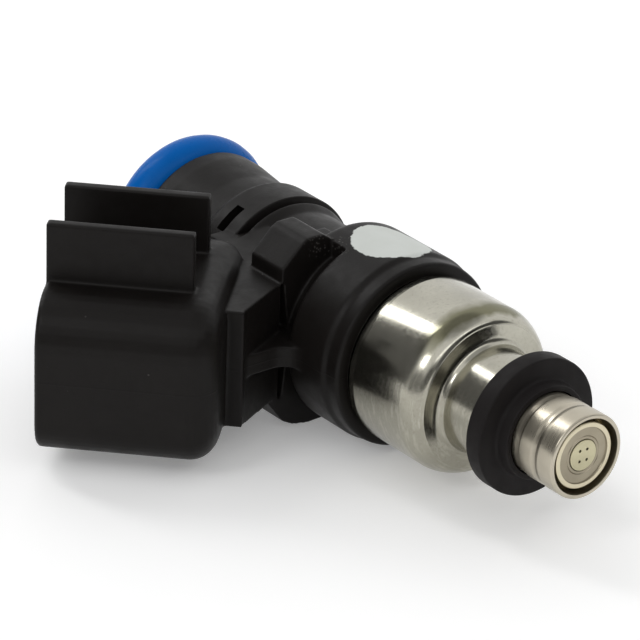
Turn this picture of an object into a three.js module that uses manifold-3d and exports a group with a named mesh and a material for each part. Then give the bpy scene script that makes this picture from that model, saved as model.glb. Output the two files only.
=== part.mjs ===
// Port fuel injector with a two-way sealed connector, lying on its side.
// Millimetres. The injector axis is Y: the spray end faces -Y and the fuel inlet faces +Y.
// The connector leaves the -X side, its mouth turned 45 degrees towards the inlet, and +Z is up.
// The origin is the centre of the orifice plate's outer face, on the injector axis.

import * as THREE from 'three';
import { mergeVertices } from 'three/addons/utils/BufferGeometryUtils.js';
import Module from 'manifold-3d';

const wasm = await Module();
wasm.setup();

// ---------- driving dimensions ----------

const COARSE = 36; // facets round the large turned parts, which nest in one another
const FINE = 24; // facets round the small inner parts
const FIT = 0.05; // gap between turned parts that are pressed or welded together
const CLEAR = 0.3; // gap round a piece let into a moulding
const RUNNING = 0.07; // radial gap round the armature
const LIFT = 0.1; // needle travel

// Steel tube that carries the valve, from the spray end to the magnet.
const SLEEVE = {
  radius: 3.25, nose: 3.34, noseEnd: 1.25, bore: 2.75, mouth: 3, front: -0.3, end: 16.4,
  groove: 1.72, grooveRadius: 3.26, bandRadius: 3.31, bandEnd: 3.3, waist: 3.22, waistEnd: 4.3,
};

// Valve at the spray end.
const PLATE = { radius: 1.22, thickness: 0.25, orificeRadius: 0.12, orificePitchX: 0.68, orificePitchZ: 0.85 };
const SEAT = { radius: 2.62, lip: -0.05, face: 0.08, end: 2.2, outlet: 0.75 };
const BALL = { radius: 1.35, centre: 1.9 };
const GUIDE = { hole: 1.42, thickness: 0.45, notchRadius: 0.3, notchCircle: 2.05 };
const NEEDLE = { radius: 1.15, bore: 0.75, front: 3.1, crossHole: 0.3 };
const ARMATURE = { front: 13.2, end: 17.8, springBore: 1.3, springSeat: 16.6 };

// Magnet: a barrier ring in the tube, a fixed core, the coil and its iron path.
const BARRIER = { front: 16.45, end: 18.95 };
const CORE = { end: 26.5, bore: 1.45 };
const ADJUSTER = { radius: 1.4, bore: 0.95, front: 20, end: 25.4, slit: 0.45 };
const SPRING = { radius: 0.98, wire: 0.18, turns: 6.5, front: 16.85, end: 19.75 };
const BOBBIN = { bore: 3.35, core: 3.85, flange: 5.8, front: 12.4, end: 19.6, flangeThickness: 0.7 };
const POST = { left: -5.65, right: -3.7, halfWidth: 1.1, end: 22.4 };
const WASHER = { outer: 5.85, front: 19.7, end: 20.8 };

// Can over the coil. Its back edge is buried in the moulding.
const CAN = {
  neckRadius: 4.25, neckFillet: 0.75, faceRadius: 5.75, radius: 6.75, bandRadius: 6.6, bore: 5.9, buriedRadius: 6.2,
  front: 6.9, face: 11.25, floor: 12.3, band: 18.55, back: 19.2, end: 21.5,
  shoulder: [[5.85, 11.33], [6.1, 11.5], [6.42, 11.95], [6.66, 12.5], [6.75, 13]],
};

// Inlet tube and what it holds.
const INLET = {
  stemRadius: 3.25, stemBore: 2.75, radius: 3.68, bore: 3.15,
  front: 19, widen: 30.8, end: 51.2, lipRadius: 5.3, lipThickness: 0.65,
};
const FILTER = {
  ring: 3.08, ringBore: 2.1, ringFront: 45.3, end: 46.8,
  cage: 2.75, cageBore: 2.3, tip: 37.9, tipLength: 0.7, strut: 0.8,
};

// Seals.
const O_RING = { centreRadius: 5.62, wire: 1.8, centre: 48.6 };
const SEAL = { outer: 5.45, inner: 3.34, front: 5.25, end: 6.8, lip: 3.72, lipFront: 4.15, bevel: 0.15 };

// Moulded barrel.
const BARREL = { front: 19.55, radius: 7.68, rim: 7.45, shoulder: 27.4, shoulderEnd: 28.5, end: 46.8 };
const CLIP_NECK = {
  radius: 6.0, front: 29.8, lipFront: 34.7, lipRadius: 6.4, slotRadius: 5.3, slotFront: 35.75, slotEnd: 36.2,
};
const COLLAR = { radius: 6.74, end: 39.5 };
const UPPER_NECK = { radius: 6.35, waist: 42, flange: 45.2, flangeRadius: 6.72 };

// Connector. Its centre line leaves the injector axis at crossing; reach is measured along that line.
const CONNECTOR = {
  angle: THREE.MathUtils.degToRad(135), crossing: 17.5, mouth: 28.75, back: 15.1, floor: 17.6,
  halfWidth: 8.7, halfHeight: 6.2, wall: 1.5, lowRadius: 2.4, highRadius: 3.7, backRound: 2,
  trimX: -7,
};
const RAIL = { back: 17.6, top: 10.9, spacing: 7.1, thickness: 1 };
const LATCH = { front: 26.5, back: 22.9, halfWidth: 1.9, height: 2.1 };
const PIN = { tip: 25.6, pitch: 5, width: 0.8, thickness: 0.64 };

// Neck that joins the connector to the barrel.
const NECK = { halfHeight: 4.8, wallMeet: 27.1, end: 37.5, flangeReach: 13.8, flangeHalfWidth: 3.7 };
const RIB = { halfThickness: 0.85, front: 25.05, foot: 22.6, blend: 1.7, left: -12.2 };
const BLOCK = {
  left: -7.05, front: 27.1, end: 31.1, edge: 5.95, chamferEnd: -4.85, top: 8, right: -3.2,
  footX: -1.2, footZ: 6.3,
};
const LOWER_BLOCK = [[-1.2, -6.6], [-2.8, -7.7], [-4, -7.8], [-5.6, -7.5], [-6.55, -7], [-8.3, -4.7]];
const RECESS = { front: 25.3, radius: 6.4, right: -2.4, low: 0.95 };
const CORNER_GROOVE = { depth: 0.8, left: -7.1, right: -6.85, foot: -6.4 };
const WINDOW = { angle: 126, length: 2.5, width: 0.9, depth: 1, centre: 38 };

// ---------- materials ----------

function finish(color, roughness, metalness) {
  return new THREE.MeshStandardMaterial({ color, roughness, metalness });
}

const blackNylon = finish(0x17171a, 0.45, 0);
const blackRubber = finish(0x141414, 0.75, 0);
const blueRubber = finish(0x0a55c8, 0.3, 0);
const stainless = finish(0xb9b4a8, 0.22, 1);
const seatSteel = finish(0x9c9282, 0.35, 1);
const plateSteel = finish(0xcfc6a0, 0.4, 0.8);
const ballSteel = finish(0xd5d7da, 0.1, 1);
const magnetIron = finish(0x8f8f8d, 0.4, 1);
const springSteel = finish(0xa4a6a8, 0.3, 1);
const copper = finish(0xb5652c, 0.35, 0.9);
const naturalNylon = finish(0xd9d2bd, 0.5, 0);
const filterMesh = finish(0xd8dcdc, 0.7, 0);
const tinPlate = finish(0xc4c6c9, 0.3, 1);

// ---------- geometry helpers ----------

// Joins a geometry's seams and drops the triangles that shrink to nothing on the axis.
function weld(geometry) {
  geometry.deleteAttribute('normal');
  geometry.deleteAttribute('uv');
  const welded = mergeVertices(geometry, 1e-4);
  const corners = welded.index.array;
  const kept = [];
  for (let i = 0; i < corners.length; i += 3) {
    const [a, b, c] = corners.slice(i, i + 3);
    if (a !== b && b !== c && c !== a) kept.push(a, b, c);
  }
  welded.setIndex(kept);
  return welded;
}

function solid(geometry) {
  const welded = weld(geometry);
  return new wasm.Manifold(new wasm.Mesh({
    numProp: 3,
    vertProperties: Float32Array.from(welded.attributes.position.array),
    triVerts: Uint32Array.from(welded.index.array),
  }));
}

function surface(body) {
  const mesh = body.getMesh();
  const geometry = new THREE.BufferGeometry();
  geometry.setAttribute('position', new THREE.BufferAttribute(Float32Array.from(mesh.vertProperties), 3));
  geometry.setIndex(Array.from(mesh.triVerts));
  return geometry;
}

// Turns a closed outline of [radius, y] points, listed anticlockwise, about the injector axis.
function turned(outline, facets = COARSE) {
  const points = outline.map(([radius, y]) => new THREE.Vector2(radius, y));
  return weld(new THREE.LatheGeometry([...points, points[0].clone()], facets));
}

// A tube's outline.
function tubeOutline(bore, radius, front, end) {
  return [[bore, front], [radius, front], [radius, end], [bore, end]];
}

function polygon(points) {
  return new THREE.Shape(points.map(([x, y]) => new THREE.Vector2(x, y)));
}

// Extrudes a shape drawn in the XY plane from one height to another.
function plate(shape, low, high, curveSegments = 6) {
  const geometry = new THREE.ExtrudeGeometry(shape, { depth: high - low, bevelEnabled: false, curveSegments });
  return geometry.translate(0, 0, low);
}

// Extrudes a shape drawn as [x, z] points along Y.
function alongY(points, front, end) {
  const flipped = points.map(([x, z]) => [x, -z]);
  return plate(polygon(flipped), 0, end - front).rotateX(-Math.PI / 2).translate(0, front, 0);
}

function box(xLow, xHigh, yLow, yHigh, zLow, zHigh) {
  const geometry = new THREE.BoxGeometry(xHigh - xLow, yHigh - yLow, zHigh - zLow);
  return geometry.translate((xLow + xHigh) / 2, (yLow + yHigh) / 2, (zLow + zHigh) / 2);
}

// A round bar along the injector axis.
function bar(radius, front, end, x = 0, z = 0) {
  return new THREE.CylinderGeometry(radius, radius, end - front, 8).translate(x, (front + end) / 2, z);
}

// A quarter of an ellipse between two [radius, y] points; bulge picks which way it sets off.
function roundedCorner(from, to, bulge, steps = 4) {
  const points = [];
  for (let i = 1; i < steps; i += 1) {
    const turn = (i / steps) * (Math.PI / 2);
    const across = bulge === 'radiusFirst' ? Math.sin(turn) : 1 - Math.cos(turn);
    const along = bulge === 'radiusFirst' ? 1 - Math.cos(turn) : Math.sin(turn);
    points.push([from[0] + (to[0] - from[0]) * across, from[1] + (to[1] - from[1]) * along]);
  }
  return [from, ...points, to];
}

// ---------- connector frame ----------

// Connector coordinates: x is the reach towards the mouth, y is towards the spray end's side, z is up.
const connectorPlace = new THREE.Matrix4()
  .makeTranslation(0, CONNECTOR.crossing, 0)
  .multiply(new THREE.Matrix4().makeRotationZ(CONNECTOR.angle));

function inConnector(geometry) {
  return geometry.applyMatrix4(connectorPlace);
}

function fromConnector([reach, side]) {
  const point = new THREE.Vector3(reach, side, 0).applyMatrix4(connectorPlace);
  return [point.x, point.y];
}

// Stands a shape drawn as (side, z) up, so that its thickness runs along the connector.
const acrossConnector = new THREE.Matrix4().makeBasis(
  new THREE.Vector3(0, 1, 0),
  new THREE.Vector3(0, 0, 1),
  new THREE.Vector3(1, 0, 0),
);

// The shell's outline or, with an inset, its cavity's.
function shellSection(inset) {
  const half = CONNECTOR.halfWidth - inset;
  const low = inset - CONNECTOR.halfHeight;
  const high = CONNECTOR.halfHeight - inset;
  const lowRadius = CONNECTOR.lowRadius - inset / 2;
  const highRadius = CONNECTOR.highRadius - inset;
  const shape = new THREE.Shape();
  shape.moveTo(-half + lowRadius, low);
  shape.lineTo(half - lowRadius, low);
  shape.absarc(half - lowRadius, low + lowRadius, lowRadius, -Math.PI / 2, 0, false);
  shape.lineTo(half, high - highRadius);
  shape.absarc(half - highRadius, high - highRadius, highRadius, 0, Math.PI / 2, false);
  shape.lineTo(-half + highRadius, high);
  shape.absarc(-half + highRadius, high - highRadius, highRadius, Math.PI / 2, Math.PI, false);
  shape.lineTo(-half, low + lowRadius);
  shape.absarc(-half + lowRadius, low + lowRadius, lowRadius, Math.PI, Math.PI * 1.5, false);
  return shape;
}

// ---------- moulded housing ----------

function barrelBody() {
  const { front, radius, rim, shoulder, shoulderEnd, end } = BARREL;
  return solid(turned([
    [0, front], [rim - 0.25, front], [rim, front + 0.2], [rim, front + 1.2], [radius, front + 1.7],
    ...roundedCorner([radius, shoulder], [radius - 0.6, shoulderEnd], 'lengthFirst', 3),
    [CLIP_NECK.radius, CLIP_NECK.front],
    [CLIP_NECK.radius, CLIP_NECK.lipFront], [CLIP_NECK.lipRadius, CLIP_NECK.slotFront - 0.2],
    [CLIP_NECK.lipRadius, CLIP_NECK.slotFront], [CLIP_NECK.slotRadius, CLIP_NECK.slotFront],
    [CLIP_NECK.slotRadius, CLIP_NECK.slotEnd], [COLLAR.radius, CLIP_NECK.slotEnd], [COLLAR.radius, COLLAR.end],
    [UPPER_NECK.radius, COLLAR.end + 0.3], [UPPER_NECK.radius, UPPER_NECK.waist],
    [UPPER_NECK.flangeRadius, UPPER_NECK.flange],
    [UPPER_NECK.flangeRadius, end], [0, end],
  ]));
}

// The bore that the magnet and the inlet tube fill.
function barrelBore() {
  const stem = INLET.stemRadius + CLEAR / 3;
  const tube = INLET.radius + CLEAR / 3;
  return solid(turned([
    [0, BARREL.front - 1], [CAN.buriedRadius + 0.1, BARREL.front - 1], [CAN.buriedRadius + 0.1, CAN.end + 0.15],
    [stem, CAN.end + 0.15], [stem, INLET.widen - 0.1], [tube, INLET.widen + 0.3], [tube, BARREL.end + 1],
    [0, BARREL.end + 1],
  ]));
}

// Everything past the mouth.
function beyondMouth() {
  return solid(inConnector(box(CONNECTOR.mouth, CONNECTOR.mouth + 10, -15, 15, -15, 15)));
}

function shellBody() {
  const overrun = 3;
  const round = CONNECTOR.backRound;
  const block = new THREE.ExtrudeGeometry(shellSection(0), {
    depth: CONNECTOR.mouth - CONNECTOR.back - round + overrun,
    bevelThickness: round,
    bevelSize: round,
    bevelOffset: -round,
    bevelSegments: 3,
    curveSegments: 5,
  });
  block.applyMatrix4(acrossConnector).translate(CONNECTOR.back + round, 0, 0);
  const besideBarrel = box(CONNECTOR.trimX, 10, CONNECTOR.crossing, 60, -15, 15);
  return solid(inConnector(block)).subtract(solid(besideBarrel));
}

function shellCavity() {
  const { floor, mouth, wall } = CONNECTOR;
  const core = plate(shellSection(wall), 0, mouth - floor + 3, 5);
  return solid(inConnector(core.applyMatrix4(acrossConnector).translate(floor, 0, 0)));
}

function rails() {
  const inner = RAIL.spacing / 2 - RAIL.thickness / 2;
  const outer = RAIL.spacing / 2 + RAIL.thickness / 2;
  return [[inner, outer], [-outer, -inner]].map(([low, high]) => (
    solid(inConnector(box(RAIL.back, CONNECTOR.mouth + 1, low, high, CONNECTOR.halfHeight - 1, RAIL.top)))
  ));
}

// The catch that the plug's latch hooks over, between the rails.
function latchRamp() {
  const { front, back, halfWidth, height } = LATCH;
  const shellTop = CONNECTOR.halfHeight;
  const base = shellTop - 0.5;
  const ramp = new THREE.Shape();
  ramp.moveTo(front, base);
  ramp.lineTo(front, shellTop + 0.2);
  ramp.lineTo(back, shellTop + height);
  ramp.lineTo(back, base);
  const wedge = plate(ramp, -halfWidth, halfWidth).rotateX(Math.PI / 2);
  return solid(inConnector(wedge));
}

// The web between the shell's flange, the block and the clip neck.
function neckBody() {
  const { halfHeight, wallMeet, end, flangeReach, flangeHalfWidth } = NECK;
  const buried = CONNECTOR.back + 0.6;
  return solid(plate(polygon([
    [0, wallMeet],
    [BLOCK.left - 0.4, wallMeet],
    fromConnector([flangeReach, flangeHalfWidth - 0.4]),
    fromConnector([flangeReach, flangeHalfWidth]),
    fromConnector([buried, flangeHalfWidth]),
    fromConnector([buried, -7]),
    [CONNECTOR.trimX + 0.6, end],
    [0, end],
  ].reverse()), -halfHeight, halfHeight));
}

// Level rib at the parting line, blended onto the barrel by a rounded corner.
function middleRib() {
  const { halfThickness, front, foot, blend, left } = RIB;
  const barrelSide = 0.05 - Math.sqrt(BARREL.radius ** 2 - halfThickness ** 2);
  const rib = new THREE.Shape();
  rib.moveTo(0, NECK.wallMeet + 1);
  rib.lineTo(0, foot);
  rib.lineTo(barrelSide, foot);
  rib.quadraticCurveTo(barrelSide, front, barrelSide - blend, front);
  rib.lineTo(left, front);
  rib.lineTo(left, NECK.wallMeet);
  return solid(plate(rib, -halfThickness, halfThickness));
}

// Blocks above and below the parting line that the rail clip locates between.
function clipBlocks() {
  const { left, front, end, edge, chamferEnd, top, right, footX, footZ } = BLOCK;
  const upper = [[left, edge], [chamferEnd, top], [right, top], [footX, footZ], [0, footZ]];
  return solid(alongY([[left, -NECK.halfHeight], ...upper, [0, -footZ], ...LOWER_BLOCK], front, end));
}

// Fillets between the clip neck and the web's upper and lower faces.
function neckFillets() {
  const height = NECK.halfHeight;
  const curve = [
    [-6, height], [-5, height + 0.07], [-4.2, height + 0.25], [-3.4, height + 0.5], [-2.6, height + 0.75],
  ];
  return [1, -1].map((side) => solid(alongY(
    [...curve, [-1, height], [-1, 0], [-6, 0]].map(([x, z]) => [x, side * z]),
    BLOCK.end - 0.5,
    CLIP_NECK.slotFront,
  )));
}

// Relief in the barrel in front of each block.
function blockReliefs() {
  const { front, radius, right, low } = RECESS;
  const ring = solid(turned(tubeOutline(radius, BARREL.radius + 1, front, BLOCK.front)));
  const sides = solid(box(-12, right, 0, 40, low, 12)).add(solid(box(-12, right, 0, 40, -12, -low)));
  return ring.intersect(sides);
}

// Upright grooves that part the blocks' fronts from the web.
function cornerGrooves() {
  const { depth, left, right, foot } = CORNER_GROOVE;
  const high = NECK.halfHeight;
  const low = RECESS.low;
  return [1, -1].map((side) => solid(alongY(
    [[left, side * high], [right, side * high], [foot, side * low], [left, side * low]],
    BLOCK.front - 0.5,
    BLOCK.front + depth,
  )));
}

function collarWindow() {
  const { angle, length, width, depth, centre } = WINDOW;
  const turn = THREE.MathUtils.degToRad(angle);
  const slot = new THREE.BoxGeometry(depth * 2, width, length).translate(COLLAR.radius, 0, 0);
  return solid(slot.rotateY(-turn).translate(0, centre, 0));
}

// A flat strip that follows points in the XY plane, mitred at its bends.
function strip(points, width, thickness) {
  const path = points.map(([x, y]) => new THREE.Vector2(x, y));
  const last = path.length - 1;
  const sides = path.map((point, i) => {
    const back = point.clone().sub(path[Math.max(i - 1, 0)]).normalize();
    const ahead = path[Math.min(i + 1, last)].clone().sub(point).normalize();
    const along = back.add(ahead).normalize();
    const stretch = i === 0 || i === last ? 1 : 1 / along.dot(path[i + 1].clone().sub(point).normalize());
    const across = new THREE.Vector2(-along.y, along.x).multiplyScalar((width / 2) * stretch);
    return [point.clone().add(across), point.clone().sub(across)];
  });
  const outline = [...sides.map(([left]) => left), ...sides.map(([, right]) => right).reverse()];
  return plate(new THREE.Shape(outline), -thickness / 2, thickness / 2);
}

// Each terminal runs from the coil's post, through the neck, into the cavity.
const pinRoutes = [
  [
    [-5.3, POST.end + 0.35], [-5.3, 28.1], [-11.6, 28.1],
    fromConnector([16.7, PIN.pitch / 2]), fromConnector([PIN.tip, PIN.pitch / 2]),
  ],
  [
    [-4.1, POST.end + 0.35], [-4.1, 29.6], [-8.2, 29.6],
    fromConnector([15.2, -PIN.pitch / 2]), fromConnector([PIN.tip, -PIN.pitch / 2]),
  ],
];

function pinChannel(route) {
  return solid(strip(route, PIN.width + 2 * CLEAR, PIN.thickness + 2 * CLEAR));
}

function postPocket() {
  const { left, right, halfWidth, end } = POST;
  const side = halfWidth + CLEAR;
  return solid(box(left - CLEAR, right + CLEAR, CAN.end - 0.5, end + 2 * CLEAR, -side, side));
}

function housing() {
  let body = barrelBody().subtract(blockReliefs());
  body = body.add(neckBody()).add(clipBlocks()).add(middleRib()).add(shellBody()).add(latchRamp());
  for (const piece of [...rails(), ...neckFillets()]) body = body.add(piece);
  for (const groove of cornerGrooves()) body = body.subtract(groove);
  body = body.subtract(beyondMouth()).subtract(collarWindow()).subtract(shellCavity());
  body = body.subtract(barrelBore()).subtract(postPocket());
  for (const route of pinRoutes) body = body.subtract(pinChannel(route));
  return surface(body);
}

// ---------- valve ----------

function nozzleSleeve() {
  const { radius, nose, noseEnd, bore, mouth, front, end } = SLEEVE;
  const { groove, grooveRadius, bandRadius, bandEnd, waist, waistEnd } = SLEEVE;
  return turned([
    [mouth, front + 0.05], [mouth + 0.05, front], [nose - 0.25, front],
    [nose - 0.08, front + 0.2], [nose, front + 0.55],
    [nose, noseEnd], [grooveRadius, groove - 0.12], [grooveRadius, groove + 0.12],
    [bandRadius, groove + 0.4], [bandRadius, bandEnd], [waist, bandEnd + 0.12], [waist, waistEnd],
    [radius, waistEnd + 0.1], [radius, end], [bore, end], [bore, 1.2], [mouth, 0.9],
  ]);
}

function orificePlate() {
  let body = solid(turned([[0, 0], [PLATE.radius, 0], [PLATE.radius, PLATE.thickness], [0, PLATE.thickness]]));
  const { orificeRadius, orificePitchX, orificePitchZ } = PLATE;
  for (const x of [-orificePitchX / 2, orificePitchX / 2]) {
    for (const z of [-orificePitchZ / 2, orificePitchZ / 2]) {
      body = body.subtract(solid(bar(orificeRadius, -1, 1, x, z)));
    }
  }
  return surface(body);
}

function valveSeat() {
  const { radius, lip, face, end, outlet } = SEAT;
  const pocket = PLATE.radius + FIT;
  const floor = PLATE.thickness + FIT;
  const coneTop = 1.5;
  const coneDrop = 0.05;
  return turned([
    [pocket, face], [radius - 0.42, face], [radius - 0.38, lip], [radius - 0.05, lip], [radius, lip + 0.05],
    [radius, end], [coneTop + 0.45, end], [coneTop, coneTop + 0.1], [coneTop, coneTop - coneDrop],
    [outlet, outlet - coneDrop], [outlet, floor], [pocket, floor],
  ]);
}

function ballGuide() {
  const { hole, thickness, notchRadius, notchCircle } = GUIDE;
  const front = SEAT.end + FIT;
  let body = solid(turned(tubeOutline(hole, SEAT.radius, front, front + thickness)));
  for (let i = 0; i < 6; i += 1) {
    const turn = (i / 6) * Math.PI * 2;
    const x = notchCircle * Math.cos(turn);
    const z = notchCircle * Math.sin(turn);
    body = body.subtract(solid(bar(notchRadius, front - 1, front + 2, x, z)));
  }
  return surface(body);
}

function valveBall() {
  const half = [];
  const steps = 10;
  for (let i = 0; i <= steps; i += 1) {
    const turn = -Math.PI / 2 + (i / steps) * Math.PI;
    half.push([i % steps === 0 ? 0 : BALL.radius * Math.cos(turn), BALL.centre + BALL.radius * Math.sin(turn)]);
  }
  return turned(half, FINE);
}

function needleTube() {
  const { radius, bore, front, crossHole } = NEEDLE;
  const body = solid(turned(tubeOutline(bore, radius, front, ARMATURE.front - FIT), FINE));
  const cross = bar(crossHole, -3, 3).rotateZ(Math.PI / 2).translate(0, front + 1.5, 0);
  return surface(body.subtract(solid(cross)));
}

function armature() {
  const { front, end, springBore, springSeat } = ARMATURE;
  const radius = SLEEVE.bore - RUNNING;
  return turned([
    [NEEDLE.bore, front], [radius - 0.2, front], [radius, front + 0.2],
    [radius, end - 0.15], [radius - 0.15, end],
    [springBore, end], [springBore, springSeat], [NEEDLE.bore, springSeat],
  ]);
}

// ---------- magnet ----------

function barrierRing() {
  return turned(tubeOutline(SLEEVE.bore, SLEEVE.radius, BARRIER.front, BARRIER.end));
}

function poleCore() {
  return turned(tubeOutline(CORE.bore, SLEEVE.bore - RUNNING, ARMATURE.end + LIFT + 0.02, CORE.end));
}

function adjustingSleeve() {
  const { radius, bore, front, end, slit } = ADJUSTER;
  const body = solid(turned(tubeOutline(bore, radius, front, end), FINE));
  return surface(body.subtract(solid(box(0, 3, front - 1, end + 1, -slit / 2, slit / 2))));
}

class Helix extends THREE.Curve {
  getPoint(t, target = new THREE.Vector3()) {
    const turn = t * SPRING.turns * Math.PI * 2;
    const y = SPRING.front + SPRING.wire + t * (SPRING.end - SPRING.front - 2 * SPRING.wire);
    return target.set(SPRING.radius * Math.cos(turn), y, SPRING.radius * Math.sin(turn));
  }
}

function returnSpring() {
  const section = new THREE.Shape();
  section.absarc(0, 0, SPRING.wire, 0, Math.PI * 2, false);
  return weld(new THREE.ExtrudeGeometry(section, {
    steps: Math.round(SPRING.turns * 12), extrudePath: new Helix(), curveSegments: 3, bevelEnabled: false,
  }));
}

function coilBobbin() {
  const { bore, core, flange, front, end, flangeThickness } = BOBBIN;
  const spool = solid(turned([
    [bore, front], [flange, front], [flange, front + flangeThickness], [core, front + flangeThickness],
    [core, end - flangeThickness], [flange, end - flangeThickness], [flange, end], [bore, end],
  ]));
  const { left, right, halfWidth } = POST;
  const post = solid(box(left, right, end - flangeThickness / 2, POST.end, -halfWidth, halfWidth));
  return surface(spool.add(post));
}

function coilWinding() {
  const { core, flange, front, end, flangeThickness } = BOBBIN;
  const inner = core + FIT;
  const outer = flange - 0.25;
  return turned(tubeOutline(inner, outer, front + flangeThickness + FIT, end - flangeThickness - FIT));
}

function fluxWasher() {
  const { outer, front, end } = WASHER;
  const ring = solid(turned(tubeOutline(BOBBIN.bore, outer, front, end)));
  const notch = box(-10, POST.right + CLEAR, front - 1, end + 1, -POST.halfWidth - CLEAR, POST.halfWidth + CLEAR);
  return surface(ring.subtract(solid(notch)));
}

function metalCan() {
  const { neckRadius, neckFillet, faceRadius, radius, bandRadius, bore, buriedRadius } = CAN;
  const { front, face, shoulder, floor, band, back, end } = CAN;
  const hole = SLEEVE.radius + 0.1;
  return turned([
    [hole, front], [neckRadius - 0.1, front], [neckRadius, front + 0.1],
    ...roundedCorner([neckRadius, face - neckFillet], [neckRadius + neckFillet, face], 'lengthFirst', 3),
    [faceRadius, face], ...shoulder, [radius, band - 0.1], [bandRadius, band],
    [bandRadius, back - 0.1], [buriedRadius, back], [buriedRadius, end],
    [bore, end], [bore, floor], [hole, floor],
  ]);
}

// ---------- inlet ----------

function inletTube() {
  const { stemRadius, stemBore, radius, bore, front, widen, end, lipRadius, lipThickness } = INLET;
  const lipFront = end - lipThickness;
  return turned([
    [stemBore, front], [stemRadius, front], [stemRadius, widen], [radius, widen + 0.4],
    [radius, lipFront - 0.25], [radius + 0.25, lipFront],
    [lipRadius - 0.15, lipFront], [lipRadius, lipFront + 0.15],
    [lipRadius, end - 0.15], [lipRadius - 0.15, end], [bore + 0.25, end], [bore, end - 0.25],
    [bore, widen + 0.6], [stemBore, widen + 0.2],
  ]);
}

function filterFrame() {
  const { ring, ringBore, ringFront, end, cage, cageBore, tip, tipLength, strut } = FILTER;
  const tipEnd = tip + tipLength;
  const cap = solid(turned([[0, tip], [cage - 0.3, tip], [cage, tip + 0.3], [cage, tipEnd], [0, tipEnd]], FINE));
  let body = solid(turned(tubeOutline(ringBore, ring, ringFront, end), FINE)).add(cap);
  const cageTube = solid(turned(tubeOutline(cageBore, cage, tip + 0.5, ringFront + 0.5), FINE));
  for (const [alongX, alongZ] of [[cage + 1, strut / 2], [strut / 2, cage + 1]]) {
    const cross = solid(box(-alongX, alongX, tip, end, -alongZ, alongZ));
    body = body.add(cageTube.intersect(cross));
  }
  return surface(body);
}

function filterScreen() {
  const { cageBore, tip, tipLength, ringFront } = FILTER;
  return turned(tubeOutline(cageBore - 0.25, cageBore - FIT, tip + tipLength + FIT, ringFront - FIT), FINE);
}

// ---------- seals ----------

function upperORing() {
  const ring = [];
  const steps = 12;
  for (let i = 0; i < steps; i += 1) {
    const turn = (i / steps) * Math.PI * 2;
    ring.push([O_RING.centreRadius + O_RING.wire * Math.cos(turn), O_RING.centre + O_RING.wire * Math.sin(turn)]);
  }
  return turned(ring);
}

function lowerSeal() {
  const { outer, inner, front, end, lip, lipFront, bevel } = SEAL;
  return turned([
    [inner, lipFront], [lip, lipFront], [lip, front], [outer - bevel, front], [outer, front + bevel],
    [outer, end - bevel], [outer - bevel, end], [inner, end],
  ]);
}

// ---------- assembly ----------

const injector = new THREE.Group();

function place(name, geometry, material) {
  geometry.computeVertexNormals();
  const mesh = new THREE.Mesh(geometry, material);
  mesh.name = name;
  injector.add(mesh);
}

place('housing_overmold', housing(), blackNylon);
place('metal_can', metalCan(), stainless);
place('nozzle_sleeve', nozzleSleeve(), stainless);
place('orifice_plate', orificePlate(), plateSteel);
place('valve_seat', valveSeat(), seatSteel);
place('ball_guide', ballGuide(), seatSteel);
place('valve_ball', valveBall(), ballSteel);
place('needle_tube', needleTube(), stainless);
place('armature', armature(), magnetIron);
place('barrier_ring', barrierRing(), stainless);
place('pole_core', poleCore(), magnetIron);
place('adjusting_sleeve', adjustingSleeve(), tinPlate);
place('return_spring', returnSpring(), springSteel);
place('coil_bobbin', coilBobbin(), naturalNylon);
place('coil_winding', coilWinding(), copper);
place('flux_washer', fluxWasher(), magnetIron);
place('inlet_tube', inletTube(), stainless);
place('filter_frame', filterFrame(), naturalNylon);
place('filter_screen', filterScreen(), filterMesh);
place('upper_o_ring', upperORing(), blueRubber);
place('lower_seal', lowerSeal(), blackRubber);
pinRoutes.forEach((route, i) => {
  place(`terminal_pin_${i + 1}`, weld(strip(route, PIN.width, PIN.thickness)), tinPlate);
});

export default injector;
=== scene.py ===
"""Looks for the fuel injector: fine visible pieces, materials, soft light and the camera.

Lengths below are in millimetres, in the CAD frame: the injector axis is Y, the spray end faces -Y,
and +Z is up. Meshes are made in millimetres and brought to metres as they are placed.
"""

import math

import bmesh
import bpy
from mathutils import Matrix, Vector


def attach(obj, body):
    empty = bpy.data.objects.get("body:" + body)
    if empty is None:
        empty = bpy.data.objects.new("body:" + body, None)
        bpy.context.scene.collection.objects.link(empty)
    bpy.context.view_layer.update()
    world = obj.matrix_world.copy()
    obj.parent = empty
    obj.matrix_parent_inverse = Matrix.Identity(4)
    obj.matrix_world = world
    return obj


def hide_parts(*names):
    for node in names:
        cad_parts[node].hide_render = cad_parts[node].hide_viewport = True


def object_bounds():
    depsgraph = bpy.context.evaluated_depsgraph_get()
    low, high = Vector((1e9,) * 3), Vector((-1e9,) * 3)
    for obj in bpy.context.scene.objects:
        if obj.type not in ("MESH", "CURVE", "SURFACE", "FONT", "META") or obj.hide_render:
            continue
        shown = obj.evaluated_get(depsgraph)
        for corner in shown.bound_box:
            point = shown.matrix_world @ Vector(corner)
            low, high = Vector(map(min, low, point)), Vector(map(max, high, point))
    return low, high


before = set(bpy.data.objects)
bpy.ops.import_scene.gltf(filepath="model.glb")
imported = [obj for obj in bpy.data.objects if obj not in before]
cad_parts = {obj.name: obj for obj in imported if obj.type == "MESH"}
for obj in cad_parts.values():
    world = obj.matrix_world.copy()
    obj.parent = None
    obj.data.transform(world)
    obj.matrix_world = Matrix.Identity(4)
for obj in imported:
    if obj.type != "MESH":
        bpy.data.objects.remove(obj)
cad_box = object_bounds()

MM = 0.001
BODY = "injector_body"
SEGMENTS = 144

# ---------- shape of the moulding ----------

VOXEL = 0.12
SMOOTHING = 5

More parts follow.
